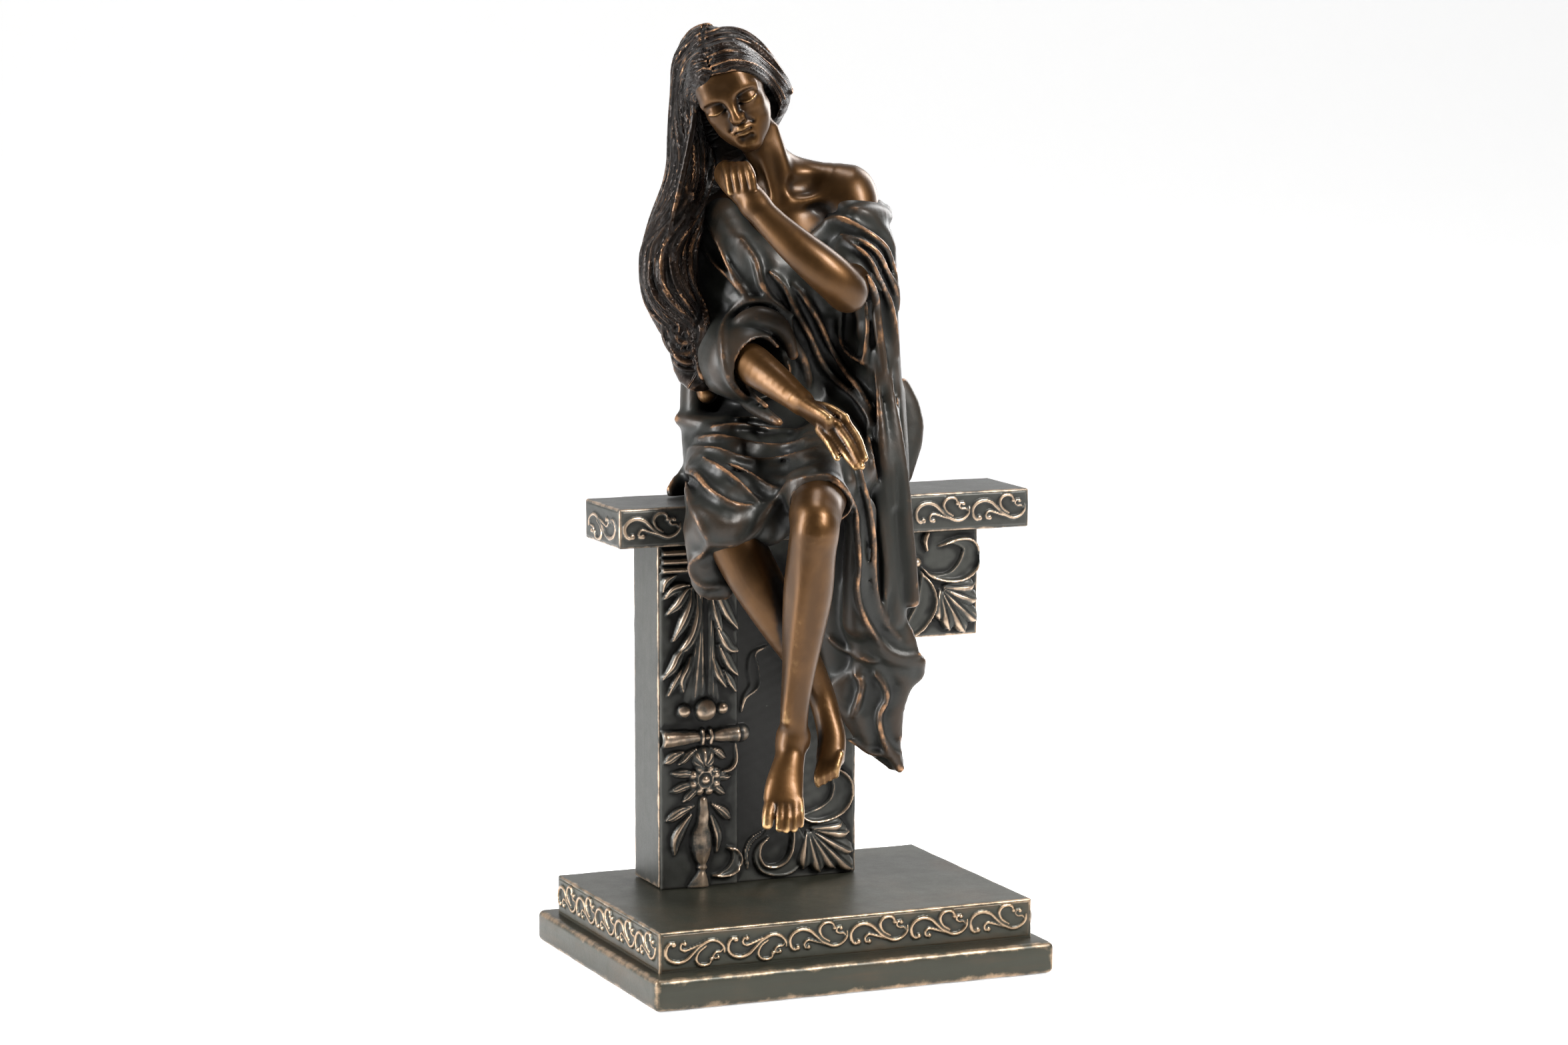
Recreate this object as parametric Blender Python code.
"""A cold-cast resin figurine: a robed woman sitting on a carved ledge, on a stepped plinth.

Three castings: the plinth, the carved ledge that stands on it, and the sitter.
World frame in metres, +Z up, origin under the middle of the plinth. The ledge's
carved face looks along -Y. The sitter is drawn in millimetres in a frame of its
own: x to the viewer's right, y away from the viewer, z up from the seat.
"""

import math

import bmesh
import bpy
import numpy as np
from mathutils import Matrix, Vector
from mathutils.bvhtree import BVHTree

MM = 0.001
CLEARANCE = 0.0003

# Plinth: a rounded step with a plain block on it.
PLINTH_LENGTH = 0.181
PLINTH_WIDTH = 0.144
STEP_HEIGHT = 0.014
STEP_ROUND = 0.003
BLOCK_INSET_LENGTH = 0.0058
BLOCK_INSET_WIDTH = 0.011
BLOCK_HEIGHT = 0.017
BLOCK_ROUND = 0.0008

# Ledge: a pillar, a higher block beside it, and a long slab on both.
PILLAR_LEFT = -0.055
PILLAR_WIDTH = 0.092
PILLAR_FRONT = 0.016
PILLAR_DEPTH = 0.029
UPPER_BLOCK_WIDTH = 0.058
UPPER_BLOCK_HEIGHT = 0.047
LEDGE_HEIGHT = 0.148
SLAB_THICKNESS = 0.0172
SLAB_LEFT_OVERHANG = 0.0192
SLAB_RIGHT_OVERHANG = 0.022
SLAB_FRONT_OVERHANG = 0.0055
SLAB_BACK_OVERHANG = 0.007
LEDGE_ROUND = 0.0008

# Sitter
FIGURE_HEIGHT = 0.2035
DRAWN_HEIGHT = 203.5
FACING_DEG = 22.83
SEAT_X = 0.005
SKIN_VOXEL = 0.0014
SKIN_KEEP = 0.0345

# What follows from them
BLOCK_LENGTH = PLINTH_LENGTH - 2 * BLOCK_INSET_LENGTH
BLOCK_WIDTH = PLINTH_WIDTH - 2 * BLOCK_INSET_WIDTH
PLINTH_TOP = STEP_HEIGHT + BLOCK_HEIGHT
LEDGE_FOOT = PLINTH_TOP + CLEARANCE
SLAB_UNDER = LEDGE_FOOT + LEDGE_HEIGHT
SLAB_TOP = SLAB_UNDER + SLAB_THICKNESS
PILLAR_RIGHT = PILLAR_LEFT + PILLAR_WIDTH
UPPER_RIGHT = PILLAR_RIGHT + UPPER_BLOCK_WIDTH
PILLAR_BACK = PILLAR_FRONT + PILLAR_DEPTH
SLAB_LEFT = PILLAR_LEFT - SLAB_LEFT_OVERHANG
SLAB_RIGHT = UPPER_RIGHT + SLAB_RIGHT_OVERHANG
SLAB_FRONT = PILLAR_FRONT - SLAB_FRONT_OVERHANG
SLAB_BACK = PILLAR_BACK + SLAB_BACK_OVERHANG
SEAT = Vector((SEAT_X, (SLAB_FRONT + SLAB_BACK) / 2, SLAB_TOP + CLEARANCE))
SITTER_FRAME = (
    Matrix.Translation(SEAT)
    @ Matrix.Rotation(math.radians(-FACING_DEG), 4, "Z")
    @ Matrix.Scale(FIGURE_HEIGHT / MM / DRAWN_HEIGHT, 4)
)

# Body forms: centre x, y, z and the two half widths of the section.
BODY = {
    "trunk": [
        (2, 0, 14, 33, 21), (3, 0, 30, 30, 20), (3, 0, 52, 24, 17), (3, -3, 84, 28, 19),
        (2, -4, 108, 31, 18), (1, -2, 124, 25, 12), (2, -6, 132, 12, 10),
    ],
    "neck": [(4, -8, 126, 12, 11), (1, -12, 139, 8.5, 8.5), (-6, -16, 152, 8.5, 8.5)],
    "nape_slope": [(4, -9, 139, 8, 8), (18, -7, 135.5, 9, 9), (31, -6, 131, 11, 11)],
    "left_upper_arm": [
        (18, -4, 128, 11, 11), (30, -7, 130, 12.5, 12.5), (34, -16, 114, 10.5, 10.5),
        (32, -34, 100, 9.5, 9.5), (29, -47, 95, 9.2, 9.2),
    ],
    "left_forearm": [
        (30, -46, 93, 9, 9), (22, -51, 100, 9.3, 9.3), (6, -52, 113, 8.2, 8.2), (-9, -47, 128, 6.3, 6.3),
    ],
    "left_hand": [(-9, -47, 128, 6.3, 6.3), (-15, -43, 138, 7.5, 5.5), (-20, -37, 147, 7.5, 4.5)],
    "left_thumb": [(-10, -46, 134, 3.4, 3.4), (-7, -44, 142, 3.0, 3.0), (-9, -42, 149, 2.6, 2.6)],
    "right_forearm": [
        (-22, -10, 60, 9, 9), (-8, -36, 59, 8.6, 8.6), (3, -52, 51, 6.8, 6.8), (11, -60, 45, 5.2, 4.6),
        (16, -67, 41, 6.8, 4.2), (20, -71, 38, 7.0, 3.8),
    ],
    "left_thigh": [(18, 0, 14, 20, 18), (22, -30, 16, 16, 15), (19, -66, 10, 13, 12.5),
        (17, -82, 4, 12.4, 12)],
    "left_shin": [
        (15, -80, 6, 12.6, 12), (17, -86, 0, 12.6, 12), (14, -83, -16, 11.3, 11), (13, -79, -36, 10.4, 11),
        (10, -76, -58, 7.8, 8.5), (7, -75, -80, 5.6, 6.2), (6, -74, -94, 5.4, 6),
    ],
    "left_foot": [
        (7, -68, -97, 5.6, 6), (5, -78, -104, 6.4, 5.6), (4, -86, -112, 8.4, 5.0), (4, -89, -118, 8.8, 4.2),
    ],
    "right_shin": [
        (-20, -64, -4, 14, 13), (-9, -64, -26, 12, 12), (3, -62, -46, 9.5, 10), (13, -60, -64, 6.8, 7),
        (20, -58, -78, 5.6, 6),
    ],
    "right_foot": [
        (20, -54, -80, 6.2, 6.2), (23, -60, -90, 6.2, 5.6), (24, -66, -98, 6.2, 4.6),
            (23, -70, -106, 4.6, 3.4),
    ],
}
# Fingers and toes: root x, y, z, tip x, y, z, radius.
DIGITS = [
    (14, -70, 37, 22, -84, 27, 1.9), (17, -72, 37, 26, -88, 24, 2.1), (21, -73, 37, 30, -89, 23, 2.2),
    (25, -73, 38, 33, -87, 25, 2.1), (11, -66, 46, 17, -74, 43, 2.0),
    (-3, -91, -119, -4, -93, -127, 3.1), (1.5, -92, -120, 1, -95, -130, 2.1),
        (5.5, -92, -120, 5.5, -95, -130, 2.1),
    (9, -91, -119, 9.5, -94, -129, 2.0), (12, -90, -118, 12.5, -92, -126, 1.8),
]
# Cloth forms
CLOTH = {
    "bodice": [(2, 0, 20, 33, 21), (3, 0, 50, 26, 18), (3, -4, 84, 30, 21), (-2, -4, 102, 30, 19)],
    "right_breast": [(-10, -12, 96, 12, 11), (-10, -15, 90, 13, 12), (-8, -12, 82, 12, 10)],
    "left_breast": [(20, -12, 98, 12, 11), (20, -16, 92, 13, 12), (18, -12, 82, 12, 10)],
    "right_lap": [(-8, 0, 16, 24, 24), (-17, -22, 15, 21, 19), (-21, -46, 8, 17, 16), (-22, -64, -4, 14, 14)],
    "left_lap": [(20, 2, 16, 24, 23), (24, -22, 17, 21, 18), (22, -50, 15, 17, 15), (19, -68, 10, 15, 14)],
    "mid_lap": [(4, 0, 14, 22, 20), (3, -26, 10, 18, 18), (0, -48, 2, 14, 16), (-4, -60, -4, 12, 10)],
    "right_sleeve": [(-29, 2, 114, 13, 13), (-30, 0, 92, 14, 14), (-25, -6, 72, 15, 16),
        (-17, -16, 61, 15, 16)],
    "cuff_roll": [
        (-12, -26, 43, 4, 4), (-18, -24, 52, 4.5, 4.5), (-19.5, -24, 64, 4.5, 4.5), (-16, -25, 76, 5, 5),
        (-8, -26, 80, 5, 5), (2, -26, 76, 4.5, 4.5), (6, -24, 66, 3.5, 3.5),
    ],
    "collar": [(20, -17, 118, 4, 4), (30, -20, 118, 6, 7), (40, -12, 120, 8, 9), (43, 2, 120, 7, 9)],
    "back_collar": [(43, 0, 120, 7, 9), (36, 12, 119, 8, 8), (18, 18, 117, 8, 7),
        (-6, 18, 116, 8, 7), (-26, 10, 116, 8, 8)],
    "left_shawl": [(38, -10, 118, 10, 12), (41, -14, 106, 11, 13), (43, -18, 84, 9.5, 12),
        (44, -18, 56, 10, 13)],
    "side_fall": [(45, -14, 44, 11, 14), (47, -24, 12, 10.5, 12), (45, -30, -20, 11.5, 8),
        (45, -30, -46, 11, 6)],
    "front_fall": [(32, -46, 20, 9, 14), (36, -48, 0, 7, 12), (36, -42, -26, 7, 9), (37, -36, -50, 8, 7)],
    "under_fall": [(28, -26, 0, 14, 10), (30, -24, -30, 14, 8), (32, -22, -56, 14, 6), (34, -20, -76, 12, 5)],
    "flare": [(41, -30, -36, 11, 7), (43, -30, -52, 13, 7), (48, -30, -68, 14, 6),
        (44, -26, -86, 13, 5), (47, -24, -104, 8, 5)],
    "flare_hem": [(40, -30, -58, 5, 5), (48, -31, -68, 5, 5), (57, -29, -70, 5, 5), (61, -25, -74, 4, 4)],
    "trail": [(30, -24, -78, 8, 4), (38, -24, -92, 9, 4), (46, -22, -104, 8, 4), (52, -20, -116, 4, 3)],
    "left_hem": [(-29, -58, -8, 9, 8), (-29, -58, -22, 7, 6), (-26, -57, -30, 8, 4), (-20, -56, -34, 4, 3)],
    "robe_back": [(2, 4, 106, 30, 14), (3, 6, 84, 29, 13), (3, 8, 56, 29, 12), (2, 7, 28, 33, 14),
        (2, 5, 10, 36, 17)],
    "seat_cloth": [(-26, 4, 4, 12, 6), (-38, -2, 3, 8, 4), (-44, -8, 1, 4, 2)],
    "shawl_inside": [(34, 0, 104, 11, 11), (36, -4, 76, 12, 12), (37, -6, 48, 13, 14), (37, -10, 22, 13, 14)],
    "left_back_fall": [(-30, 6, 66, 9, 8), (-33, 2, 46, 7, 9), (-33, -2, 28, 7, 12), (-30, -4, 14, 9, 16)],
    "back_fall": [(20, 14, 60, 14, 6), (44, 16, 46, 12, 6), (53, 16, 28, 12, 6), (50, 12, 8, 10, 6)],
}
HAIR = {
    "crown": [(-28, -9, 192, 11, 13), (-25, -7, 184, 17.5, 20), (-23, -4, 169, 18.5, 19),
        (-20, 0, 152, 14, 15)],
    "fall_upper": [(-33, -10, 182, 9, 13), (-37, -12, 160, 7.5, 13), (-37, -12, 136, 8, 12),
        (-41, -12, 118, 11, 12)],
    "fall_lower": [(-38, -12, 126, 8, 10), (-44, -14, 104, 12.5, 13), (-43, -14, 86, 12, 12),
        (-39, -12, 70, 7, 8)],
    "curls": [(-40, -16, 78, 8, 7), (-37, -19, 64, 8, 6), (-36, -20, 54, 6, 5), (-30, -21, 50, 4, 4)],
    "curl_tail": [(-30, -20, 72, 5, 5), (-30, -22, 60, 4.5, 4), (-34, -22, 50, 3, 3)],
    "right_wave": [(-26, -18, 193, 9, 9), (-12, -18, 189, 7.5, 8), (-3, -14, 181, 6.5, 8),
        (1, -8, 172, 5.5, 8), (-3, 0, 162, 6, 8)],
    "back_hair": [(-20, 6, 176, 16, 12), (-22, 12, 150, 18, 10), (-28, 14, 124, 18, 8),
        (-34, 10, 100, 12, 8)],
}
HEAD = {
    "skull": [(-17, -24, 162, 13, 14), (-20, -20, 172, 15.5, 18), (-24, -14, 184, 14, 17)],
    "jaw": [(-12, -32, 151.5, 6, 5.5), (-14, -31, 158, 11.5, 10), (-18, -28, 170, 14, 13)],
    "nose": [(-18.5, -42, 172, 1.6, 1.6), (-17.2, -44, 167, 2.0, 2.2), (-16, -45.5, 162.5, 2.6, 2.4)],
    "brow": [(-26, -38, 175, 2, 2), (-19, -41, 174, 2, 2), (-10, -38, 172, 2, 2)],
    "lips": [(-17, -41, 157.2, 1.5, 1.4), (-14.2, -42.2, 156.6, 2, 1.8), (-11.4, -40.8, 156, 1.5, 1.4)],
}

# Fold crests and hair locks, drawn as x, z marks on the plane y = 0 as the
# front viewpoint sees them; each lies on whatever form stands behind its marks.
VIEWPOINT = Vector((4, -1826, 230))
CREST_LIFT = 0.25
FOLDS = {
    2.1: [
        [(-2, 96), (4, 90), (15, 69), (26, 50), (35, 42), (44, 24), (46, 14)],
        [(8, 91), (13, 85), (24, 64), (30, 54), (42, 37)],
        [(-14, 110), (-8, 101), (2, 79), (13, 59), (16, 50)],
        [(-28, 116), (-24, 108), (-19, 97), (-12, 86)],
        [(40, 94), (43, 86), (45, 72), (48, 41), (51, 10), (52, -5)],
        [(22, 118), (33, 117), (44, 110), (50, 101), (53, 83)],
        [(30, 110), (37, 105), (44, 95), (50, 82), (53, 60)],
        [(-18, 33), (-8, 33), (2, 31)], [(-33, 24), (-22, 25), (-9, 22), (4, 21), (13, 24)],
        [(-37, 19), (-26, 20), (-3, 15), (8, 17), (18, 20)], [(-27, 29), (-14, 30), (0, 28), (11, 28)],
        [(-38, 11), (-28, 2), (-18, -4), (-10, -5)], [(-31, 16), (-17, 7), (-7, -3)],
        [(1, 6), (8, 12), (18, 16), (27, 12), (35, 5), (39, -4)],
        [(24, -63), (35, -70), (44, -73)], [(36, -79), (38, -92), (34, -100)], [(46, -79), (49, -90),
            (47, -104), (53, -118)],
    ],
    2.8: [
        [(45, 60), (50, 24), (54, -3), (55, -36), (54, -46)], [(40, 30), (44, 2), (47, -31), (47, -52)],
        [(33, 25), (38, 5), (43, -21), (44, -43), (54, -63)],
        [(35, -6), (37, -30), (38, -51), (49, -68), (62, -70)],
        [(-36, 0), (-32, -13), (-28, -22), (-14, -21), (-4, -9), (7, 5), (13, 7)],
    ],
}
LOCKS = {
    2.4: [
        [(-29, 192), (-37, 180), (-40, 166), (-38, 149), (-42, 131), (-52, 116), (-54, 104)],
        [(-27, 180), (-35, 173), (-35, 160), (-32, 143), (-36, 126), (-46, 114), (-50, 106)],
        [(-28, 166), (-30, 153), (-28, 138), (-32, 125), (-40, 110), (-42, 103)],
        [(-30, 195), (-22, 198), (-14, 197), (-6, 192), (4, 180)], [(-28, 188), (-19, 191),
            (-3, 183), (6, 173)],
        [(-25, 181), (-16, 182), (-6, 178), (1, 172)],
        [(-50, 115), (-54, 99), (-50, 80), (-44, 68)], [(-43, 117), (-51, 96), (-43, 78), (-41, 64)],
        [(-37, 115), (-41, 100), (-37, 86), (-32, 70), (-35, 60)], [(-29, 116), (-32, 100),
            (-29, 78), (-30, 60)],
    ],
}


def clear_scene():
    for obj in list(bpy.data.objects):
        bpy.data.objects.remove(obj)


def smooth_path(rows, steps):
    """Catmull-Rom through the rows: every column, position and widths alike, is blended the same way."""
    rows = np.asarray(rows, float)
    ends = np.vstack([2 * rows[0] - rows[1], rows, 2 * rows[-1] - rows[-2]])
    out = []
    for i in range(1, len(ends) - 2):
        before, start, end, after = ends[i - 1:i + 3]
        for k in range(steps):
            t = k / steps
            out.append(0.5 * (
                2 * start + (end - before) * t
                + (2 * before - 5 * start + 4 * end - after) * t**2
                + (3 * start - before - 3 * end + after) * t**3
            ))
    out.append(rows[-1])
    return np.array(out)


def tube(bm, rows, sides=14, steps=3, depth_axis=(0, 1, 0), round_ends=True, turn=0.5):
    """A closed limb: an ellipse of the rows' half widths carried along their smooth path.

    The second half width lies along depth_axis as far as the path allows. turn shifts
    the corners round the section by a part of one side.
    """
    path = smooth_path(rows, steps)
    centres, wide, deep = path[:, :3], path[:, 3], path[:, 4]
    along = np.gradient(centres, axis=0)
    along /= np.linalg.norm(along, axis=1)[:, None]
    side = np.cross(along, np.asarray(depth_axis, float))
    side /= np.linalg.norm(side, axis=1)[:, None]
    depth = np.cross(side, along)
    rings = []

    def ring(i, shrink, shift):
        centre = centres[i] + along[i] * shift
        verts = []
        for k in range(sides):
            angle = 2 * math.pi * (k + turn) / sides
            offset = side[i] * wide[i] * math.cos(angle) + depth[i] * deep[i] * math.sin(angle)
            verts.append(bm.verts.new(centre + offset * shrink))
        rings.append(verts)

    cap = (0.92, 0.7, 0.35) if round_ends else ()
    for shrink in reversed(cap):
        ring(0, shrink, -math.sqrt(1 - shrink**2) * min(wide[0], deep[0]))
    for i in range(len(centres)):
        ring(i, 1.0, 0.0)
    for shrink in cap:
        ring(-1, shrink, math.sqrt(1 - shrink**2) * min(wide[-1], deep[-1]))
    for lower, upper in zip(rings, rings[1:]):
        for k in range(sides):
            j = (k + 1) % sides
            bm.faces.new((lower[k], lower[j], upper[j], upper[k]))
    bm.faces.new(reversed(rings[0]))
    bm.faces.new(rings[-1])


def crest(bm, tree, marks, radius):
    """A soft ridge along drawn marks, thin at both ends, its middle line just under the form it lies on."""
    rows = smooth_path([(x, 0, z) for x, z in marks], 4)
    points = []
    for mark in rows:
        ray = (Vector(mark) - VIEWPOINT).normalized()
        hit = tree.ray_cast(VIEWPOINT, ray)[0]
        if hit is not None:
            points.append(hit - ray * (radius * CREST_LIFT))
    if len(points) < 4:
        return
    points = np.array(points)
    for _ in range(2):
        points[1:-1] = (points[:-2] + 2 * points[1:-1] + points[2:]) / 4
    t = np.linspace(0, 1, len(points))
    swell = radius * np.clip(4 * np.minimum(t, 1 - t) + 0.35, 0, 1)
    tube(bm, np.column_stack([points, swell, swell]), sides=8, steps=1)


def material(name, colour, roughness, metallic):
    mat = bpy.data.materials.new(name)
    mat.use_nodes = True
    shader = mat.node_tree.nodes["Principled BSDF"]
    shader.inputs["Base Color"].default_value = (*colour, 1)
    shader.inputs["Roughness"].default_value = roughness
    shader.inputs["Metallic"].default_value = metallic
    return mat


def new_object(name, bm, matrix, mat=None):
    """A mesh object from bm, drawn in millimetres in the frame that matrix stands for."""
    bmesh.ops.recalc_face_normals(bm, faces=bm.faces)
    mesh = bpy.data.meshes.new(name)
    bm.to_mesh(mesh)
    bm.free()
    mesh.transform(matrix @ Matrix.Scale(MM, 4))
    obj = bpy.data.objects.new(name, mesh)
    bpy.context.scene.collection.objects.link(obj)
    if mat is not None:
        mesh.materials.append(mat)
    return obj


def cuboid(name, low, high):
    """A plain block between two corners, its own origin in its middle."""
    bpy.ops.mesh.primitive_cube_add(size=1, location=[(a + b) / 2 for a, b in zip(low, high)])
    obj = bpy.context.object
    obj.name = name
    obj.scale = [b - a for a, b in zip(low, high)]
    bpy.ops.object.transform_apply(location=False, rotation=False, scale=True)
    return obj


def tool(obj):
    """Hide a helper object: it only serves a Boolean."""
    obj.hide_render = True
    obj.display_type = "WIRE"
    return obj


def boolean(obj, other, operation, self_crossing=False):
    mod = obj.modifiers.new(operation.lower() + "_" + other.name, "BOOLEAN")
    mod.operation = operation
    mod.solver = "EXACT"
    mod.use_self = self_crossing
    mod.object = tool(other)


def rounded(obj, width, segments):
    mod = obj.modifiers.new("rounding", "BEVEL")
    mod.width = width
    mod.segments = segments
    mod.limit_method = "ANGLE"
    mod.angle_limit = math.radians(40)


# Relief: every ornament is drawn on a face as u along it and v up, in millimetres, w out of it.
SCROLL_MOTIF = [(3.4, -0.8), (1.4, -1.6), (0.8, 1.4), (3.6, 3.2), (8.2, 1.0), (13.4, -2.6),
    (18.6, -2.8), (22.4, -0.6)]
SLAB_FRIEZE_LEFT_END = -47
SLAB_FRIEZE_RIGHT_START = 63.5
SCROLL_CURL = [(14.6, -0.6), (13.6, 2.4), (16.4, 3.4), (17.8, 1.4)]
MOTIF_LENGTH = 25.0
RELIEF_RISE = 1.1
SUNK = 0.2


def scroll_frieze(bm, start, end, v_mid, count, mirror_first=0):
    """A running row of S scrolls with a small curl on each, between two places along a face."""
    pitch = (end - start) / count
    for i in range(count):
        flip = -1 if i < mirror_first else 1
        for marks, size in ((SCROLL_MOTIF, 1.0), (SCROLL_CURL, 0.8)):
            rows = []
            for u, v in marks:
                along = (u - MOTIF_LENGTH / 2) * pitch / MOTIF_LENGTH * flip
                rows.append((start + (i + 0.5) * pitch + along, v_mid + v, -SUNK, size, RELIEF_RISE * size))
            tube(bm, rows, sides=4, steps=1, depth_axis=(0, 0, 1), round_ends=False, turn=0)


def face_frame(origin, u_axis):
    """The frame of an upright face: u along u_axis, v up, w out of the face."""
    u = Vector(u_axis)
    v = Vector((0, 0, 1))
    frame = Matrix((u, v, u.cross(v))).transposed().to_4x4()
    frame.translation = origin
    return frame


def ball(bm, u, v, radius):
    place = Matrix.Translation((u, v, 0)) @ Matrix.Scale(radius, 4)
    bmesh.ops.create_uvsphere(bm, u_segments=8, v_segments=6, radius=1, matrix=place)


def leaf(bm, base, tip, width, rise):
    """A pointed leaf lying on the face: a tube swelling from its base and narrowing to its tip."""
    base, tip = np.array(base, float), np.array(tip, float)
    rows = []
    for t, swell in ((0, 0.45), (0.35, 1.0), (0.7, 0.85), (1.0, 0.2)):
        rows.append((*(base + (tip - base) * t), -SUNK, width * swell, rise * swell))
    tube(bm, rows, sides=4, steps=1, depth_axis=(0, 0, 1), round_ends=False, turn=0)


# Ledge ornaments, u and v in world x and z millimetres on the pillar's face.
# A C scroll is a crescent: each mark also carries the half width of its band.
C_SCROLLS = [
    [(-23.2, 48.2, 1.2), (-20, 44.5, 2.4), (-19.5, 40.5, 3), (-23, 37.2, 2.5), (-30, 36, 1.2)],
    [(-6.5, 49.5, 1), (-10, 43, 1.3), (-7.8, 37.5, 2.2), (-1, 36, 3.2), (5.5, 38, 4.4),
        (8.5, 44, 4.8), (8, 51, 4)],
    [(19, 77, 1.2), (26, 76, 2), (30, 69.5, 5.2), (27.5, 62.5, 5), (21.5, 59, 4.5), (15, 58.5, 3.5)],
    [(77, 172, 1.2), (84, 174, 1.5), (90.3, 169, 5), (88, 161.5, 4.6), (80.3, 158.3, 2.4), (72, 159.8, 1)],
    [(67, 161, 1.2), (69, 153.5, 4.2), (69.5, 146.5, 5), (65, 138.5, 4.8), (60, 134, 3), (55, 132.5, 1.5)],
    [(4, 118, 1.2), (-2, 123, 2.5), (-9, 122, 4), (-12.5, 115, 3.6), (-12, 107, 1.5)],
    [(46, 168, 1.2), (52, 172, 2.4), (57, 166, 4), (54, 159, 3), (47, 156, 1.4)],
    [(0, 158, 1.2), (7, 162, 2.5), (13, 157, 4), (11, 149, 3), (4, 146, 1.4)],
]
PALMETTES = [((14, 52.5), [(29, 54), (33, 45), (34.5, 34), (21, 33)]), ((76.6, 153.5), [(92, 154),
    (93, 145), (93, 136), (82, 136)])]
ACANTHUS = [
    ((-41, 161), (-51.5, 156)), ((-41.5, 158), (-51, 148)), ((-40.5, 158), (-49.5, 139)),
        ((-38, 158), (-46.5, 132)),
    ((-43, 134), (-52, 122)), ((-41, 130), (-45, 117)), ((-44, 126), (-51, 115)),
    ((-30, 160), (-20, 144)), ((-31.5, 156), (-25.5, 138)), ((-28, 144), (-20, 131)), ((-28, 132),
        (-20, 120)),
    ((-30, 128), (-24, 114)),
]
BLOSSOM_CENTRE = (-35, 78)


def ledge_relief(bm):
    """Everything that stands on the ledge's face below the slab."""
    for marks in C_SCROLLS:
        rows = [(u, v, 0, width, 2.6 + width * 0.35) for u, v, width in marks]
        tube(bm, rows, sides=6, steps=2, depth_axis=(0, 0, 1), round_ends=False)
    for base, tips in PALMETTES:
        for tip in tips:
            leaf(bm, base, tip, 2.6, 3.4)
    for v, reach in ((176.2, -17.5), (172.6, -18.5), (168.9, -19.5)):
        tube(bm, [(-54, v, 0, 1.6, 2.8), (reach, v, 0, 1.6, 2.8)],
            sides=8, steps=1, depth_axis=(0, 0, 1), round_ends=False)
    for base, tip in ACANTHUS:
        leaf(bm, base, tip, 2.0, 3.4)
    tube(bm, [(-36, 162, 0, 2.4, 3), (-36.6, 140, 0, 3, 3), (-37, 113, 0, 5, 2.4)], sides=6, steps=1,
         depth_axis=(0, 0, 1), round_ends=False)
    for u, radius in ((-43.6, 3.2), (-34.4, 5.0), (-26.4, 2.8)):
        ball(bm, u, 108, radius)
    roll = [(-52.6, 96.6, 0, 3.9, 4.9), (-43, 96.6, 0, 3.0, 4.2), (-34.1, 96.2, 0, 2.2, 3.4),
        (-25.5, 96.6, 0, 3.0, 4.2), (-18.2, 96.4, 0, 3.9, 4.9)]
    tube(bm, roll, sides=10, steps=1, depth_axis=(0, 0, 1), round_ends=False)
    ball(bm, -34.1, 96.2, 4.2)
    ball(bm, -35.4, 87.5, 5.2)
    ball(bm, *BLOSSOM_CENTRE, 4.6)
    for k in range(8):
        angle = math.radians(45 * k + 12)
        tip = (BLOSSOM_CENTRE[0] + 14 * math.cos(angle), BLOSSOM_CENTRE[1] + 9.5 * math.sin(angle))
        leaf(bm, BLOSSOM_CENTRE, tip, 3.0, 2.8)
    for base, tip in (((-38, 67), (-51, 61.5)), ((-32, 67), (-22, 60)), ((-42, 90.5), (-52, 86.5)),
        ((-28, 90.5), (-19, 86.5)),
                      ((-42.5, 59), (-48, 46)), ((-31, 59), (-28, 46))):
        leaf(bm, base, tip, 2.4, 3.0)
    vase = [(-35.4, 68, 2.2), (-35.5, 61, 3.2), (-36.4, 52, 5.6), (-36.4, 45.5, 5.0),
        (-36.2, 41.3, 2.0), (-36.6, 37, 3.4), (-36.6, 32, 6.2)]
    tube(bm, [(u, v, 0, width, width * 0.9) for u, v, width in vase],
        sides=8, steps=1, depth_axis=(0, 0, 1), round_ends=False)


def build_plinth():
    half_length, half_width = PLINTH_LENGTH / 2, PLINTH_WIDTH / 2
    plinth = cuboid("plinth", (-half_length, -half_width, 0), (half_length, half_width, STEP_HEIGHT))
    step_mod = plinth.modifiers.new("step_round", "BEVEL")
    step_mod.width = STEP_ROUND
    step_mod.segments = 4
    step_mod.limit_method = "ANGLE"
    half_length, half_width = BLOCK_LENGTH / 2, BLOCK_WIDTH / 2
    block = cuboid("plinth_block", (-half_length, -half_width, STEP_HEIGHT / 2),
        (half_length, half_width, PLINTH_TOP))
    rounded(block, BLOCK_ROUND, 1)
    boolean(plinth, block, "UNION")
    v_mid = (STEP_HEIGHT + BLOCK_HEIGHT * 0.46) / MM
    reach_long, reach_wide = (half_length - 0.003) / MM, (half_width - 0.003) / MM
    faces = (
        ("front", (0, -half_width, 0), (1, 0, 0), reach_long, 6, 1),
        ("left", (-half_length, 0, 0), (0, -1, 0), reach_wide, 4, 0),
        ("right", (half_length, 0, 0), (0, 1, 0), reach_wide, 4, 0),
    )
    for side, origin, u_axis, reach, count, mirror_first in faces:
        bm = bmesh.new()
        scroll_frieze(bm, -reach, reach, v_mid, count, mirror_first)
        relief = new_object("plinth_frieze_" + side, bm, face_frame(Vector(origin), u_axis))
        boolean(plinth, relief, "UNION")
    plinth.data.materials.append(material("plinth_finish", (0.09, 0.088, 0.07), 0.55, 0.35))
    return plinth


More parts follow.
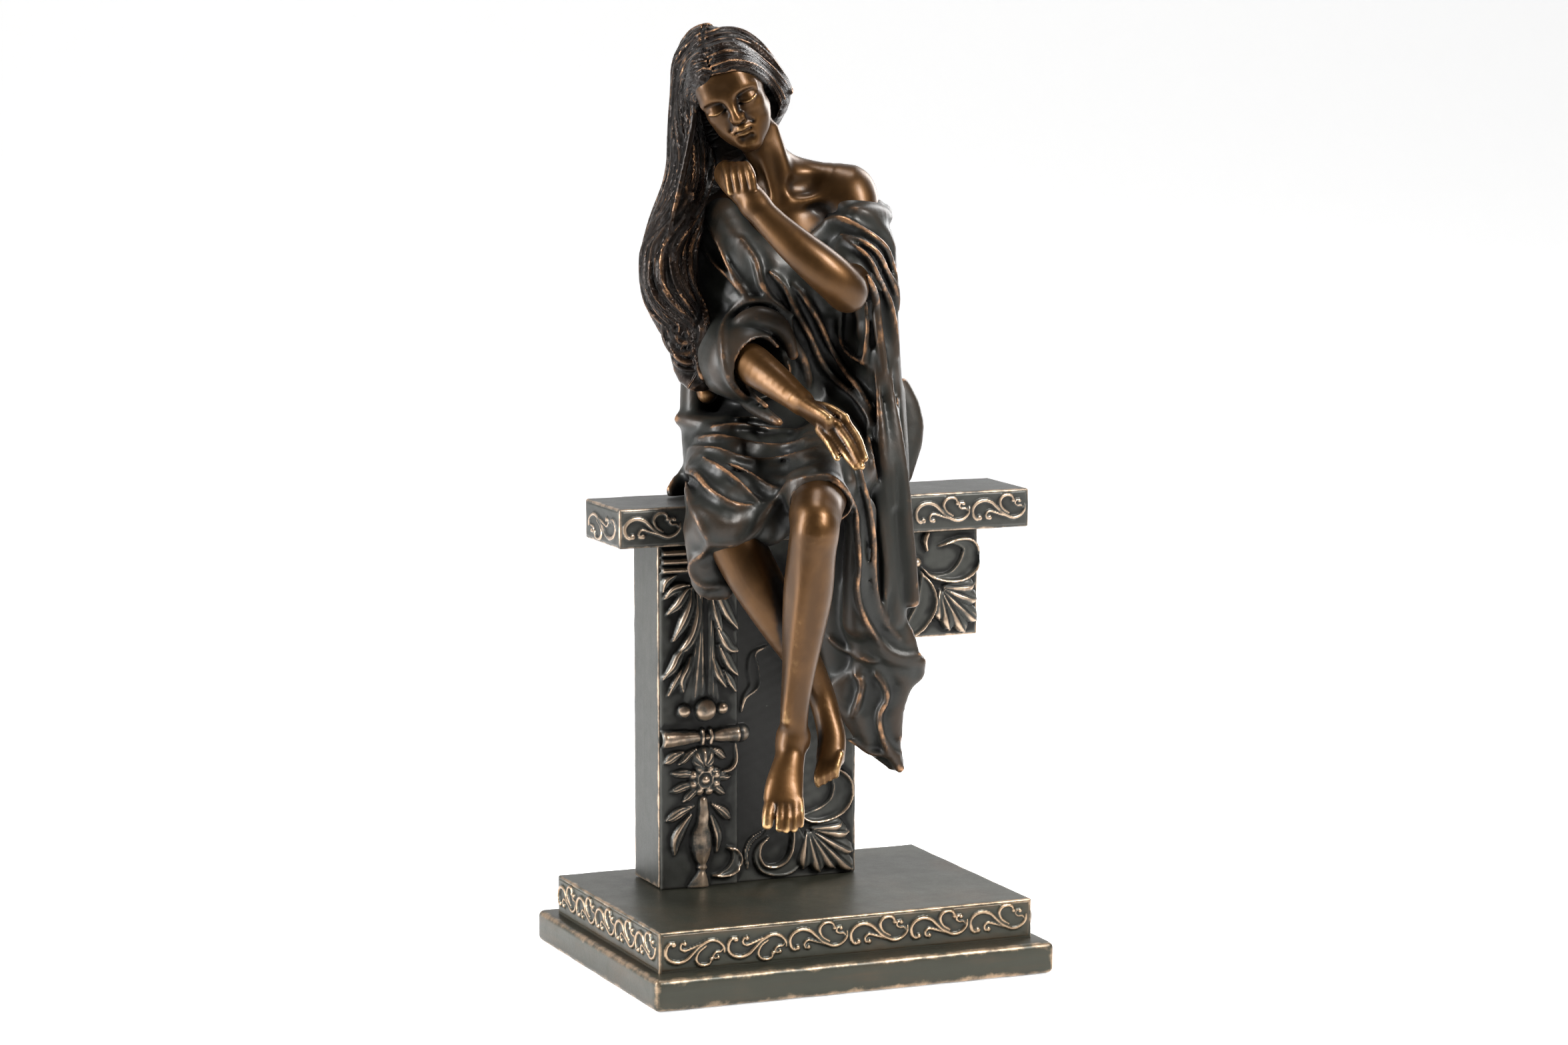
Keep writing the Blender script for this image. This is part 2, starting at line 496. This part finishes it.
def build_ledge():
    ledge = cuboid("ledge", (PILLAR_LEFT, PILLAR_FRONT, LEDGE_FOOT),
        (PILLAR_RIGHT, PILLAR_BACK, SLAB_UNDER + SLAB_THICKNESS / 2))
    upper = cuboid("upper_block", (PILLAR_RIGHT - 0.004, PILLAR_FRONT, SLAB_UNDER - UPPER_BLOCK_HEIGHT),
                   (UPPER_RIGHT, PILLAR_BACK, SLAB_UNDER + SLAB_THICKNESS / 2))
    slab = cuboid("slab", (SLAB_LEFT, SLAB_FRONT, SLAB_UNDER), (SLAB_RIGHT, SLAB_BACK, SLAB_TOP))
    rounded(slab, LEDGE_ROUND, 1)
    boolean(ledge, upper, "UNION")
    boolean(ledge, slab, "UNION")
    bm = bmesh.new()
    ledge_relief(bm)
    relief = new_object("ledge_relief", bm, face_frame(Vector((0, PILLAR_FRONT, 0)), (1, 0, 0)))
    boolean(ledge, relief, "UNION", self_crossing=True)
    v_mid = (SLAB_UNDER + SLAB_THICKNESS * 0.5) / MM
    depth_mid, reach_wide = (SLAB_FRONT + SLAB_BACK) / 2, (SLAB_BACK - SLAB_FRONT) / 2 / MM - 3
    faces = (
        ("front_left", (0, SLAB_FRONT, 0), (1, 0, 0), SLAB_LEFT / MM + 1, SLAB_FRIEZE_LEFT_END, 1),
        ("front_right", (0, SLAB_FRONT, 0), (1, 0, 0), SLAB_FRIEZE_RIGHT_START, SLAB_RIGHT / MM - 1, 2),
        ("left", (SLAB_LEFT, depth_mid, 0), (0, -1, 0), -reach_wide, reach_wide, 1),
        ("right", (SLAB_RIGHT, depth_mid, 0), (0, 1, 0), -reach_wide, reach_wide, 1),
    )
    for side, origin, u_axis, start, end, count in faces:
        bm = bmesh.new()
        scroll_frieze(bm, start, end, v_mid, count)
        boolean(ledge, new_object("slab_frieze_" + side, bm, face_frame(Vector(origin), u_axis)), "UNION")
    ledge.data.materials.append(material("ledge_finish", (0.13, 0.13, 0.12), 0.6, 0.35))
    return ledge


def build_sitter():
    """Join every form, ridge and lock into one skin, thin it out and cut it to sit on the ledge."""
    bm = bmesh.new()
    for rows in (*BODY.values(), *HEAD.values(), *HAIR.values()):
        tube(bm, rows)
    for name, rows in CLOTH.items():
        tube(bm, rows, depth_axis=(0, 0, 1) if name.endswith("lap") else (0, 1, 0))
    tree = BVHTree.FromBMesh(bm)
    for *ends, radius in DIGITS:
        root, tip = np.array(ends[:3], float), np.array(ends[3:], float)
        knuckle = (root + tip) / 2 + (0, -0.8, 0.8)
        tube(bm, [(*root, radius, radius), (*knuckle, radius, radius),
            (*tip, radius * 0.8, radius * 0.8)], sides=8)
    for table in (FOLDS, LOCKS):
        for radius, strokes in table.items():
            for marks in strokes:
                crest(bm, tree, marks, radius)
    sitter = new_object("sitter", bm, SITTER_FRAME, material("sitter_finish", (0.16, 0.105, 0.055),
        0.38, 0.75))
    remesh = sitter.modifiers.new("one_skin", "REMESH")
    remesh.mode = "VOXEL"
    remesh.voxel_size = SKIN_VOXEL
    soften = sitter.modifiers.new("soften", "SMOOTH")
    soften.factor = 0.5
    soften.iterations = 3
    thin = sitter.modifiers.new("thin_out", "DECIMATE")
    thin.ratio = SKIN_KEEP
    room = cuboid("ledge_room", (-0.3, SLAB_FRONT - CLEARANCE, 0), (0.3, 0.3, SLAB_TOP + CLEARANCE))
    boolean(sitter, room, "DIFFERENCE")
    return sitter


def main():
    clear_scene()
    for obj in (build_plinth(), build_ledge(), build_sitter()):
        for polygon in obj.data.polygons:
            polygon.use_smooth = obj.name == "sitter"


main()
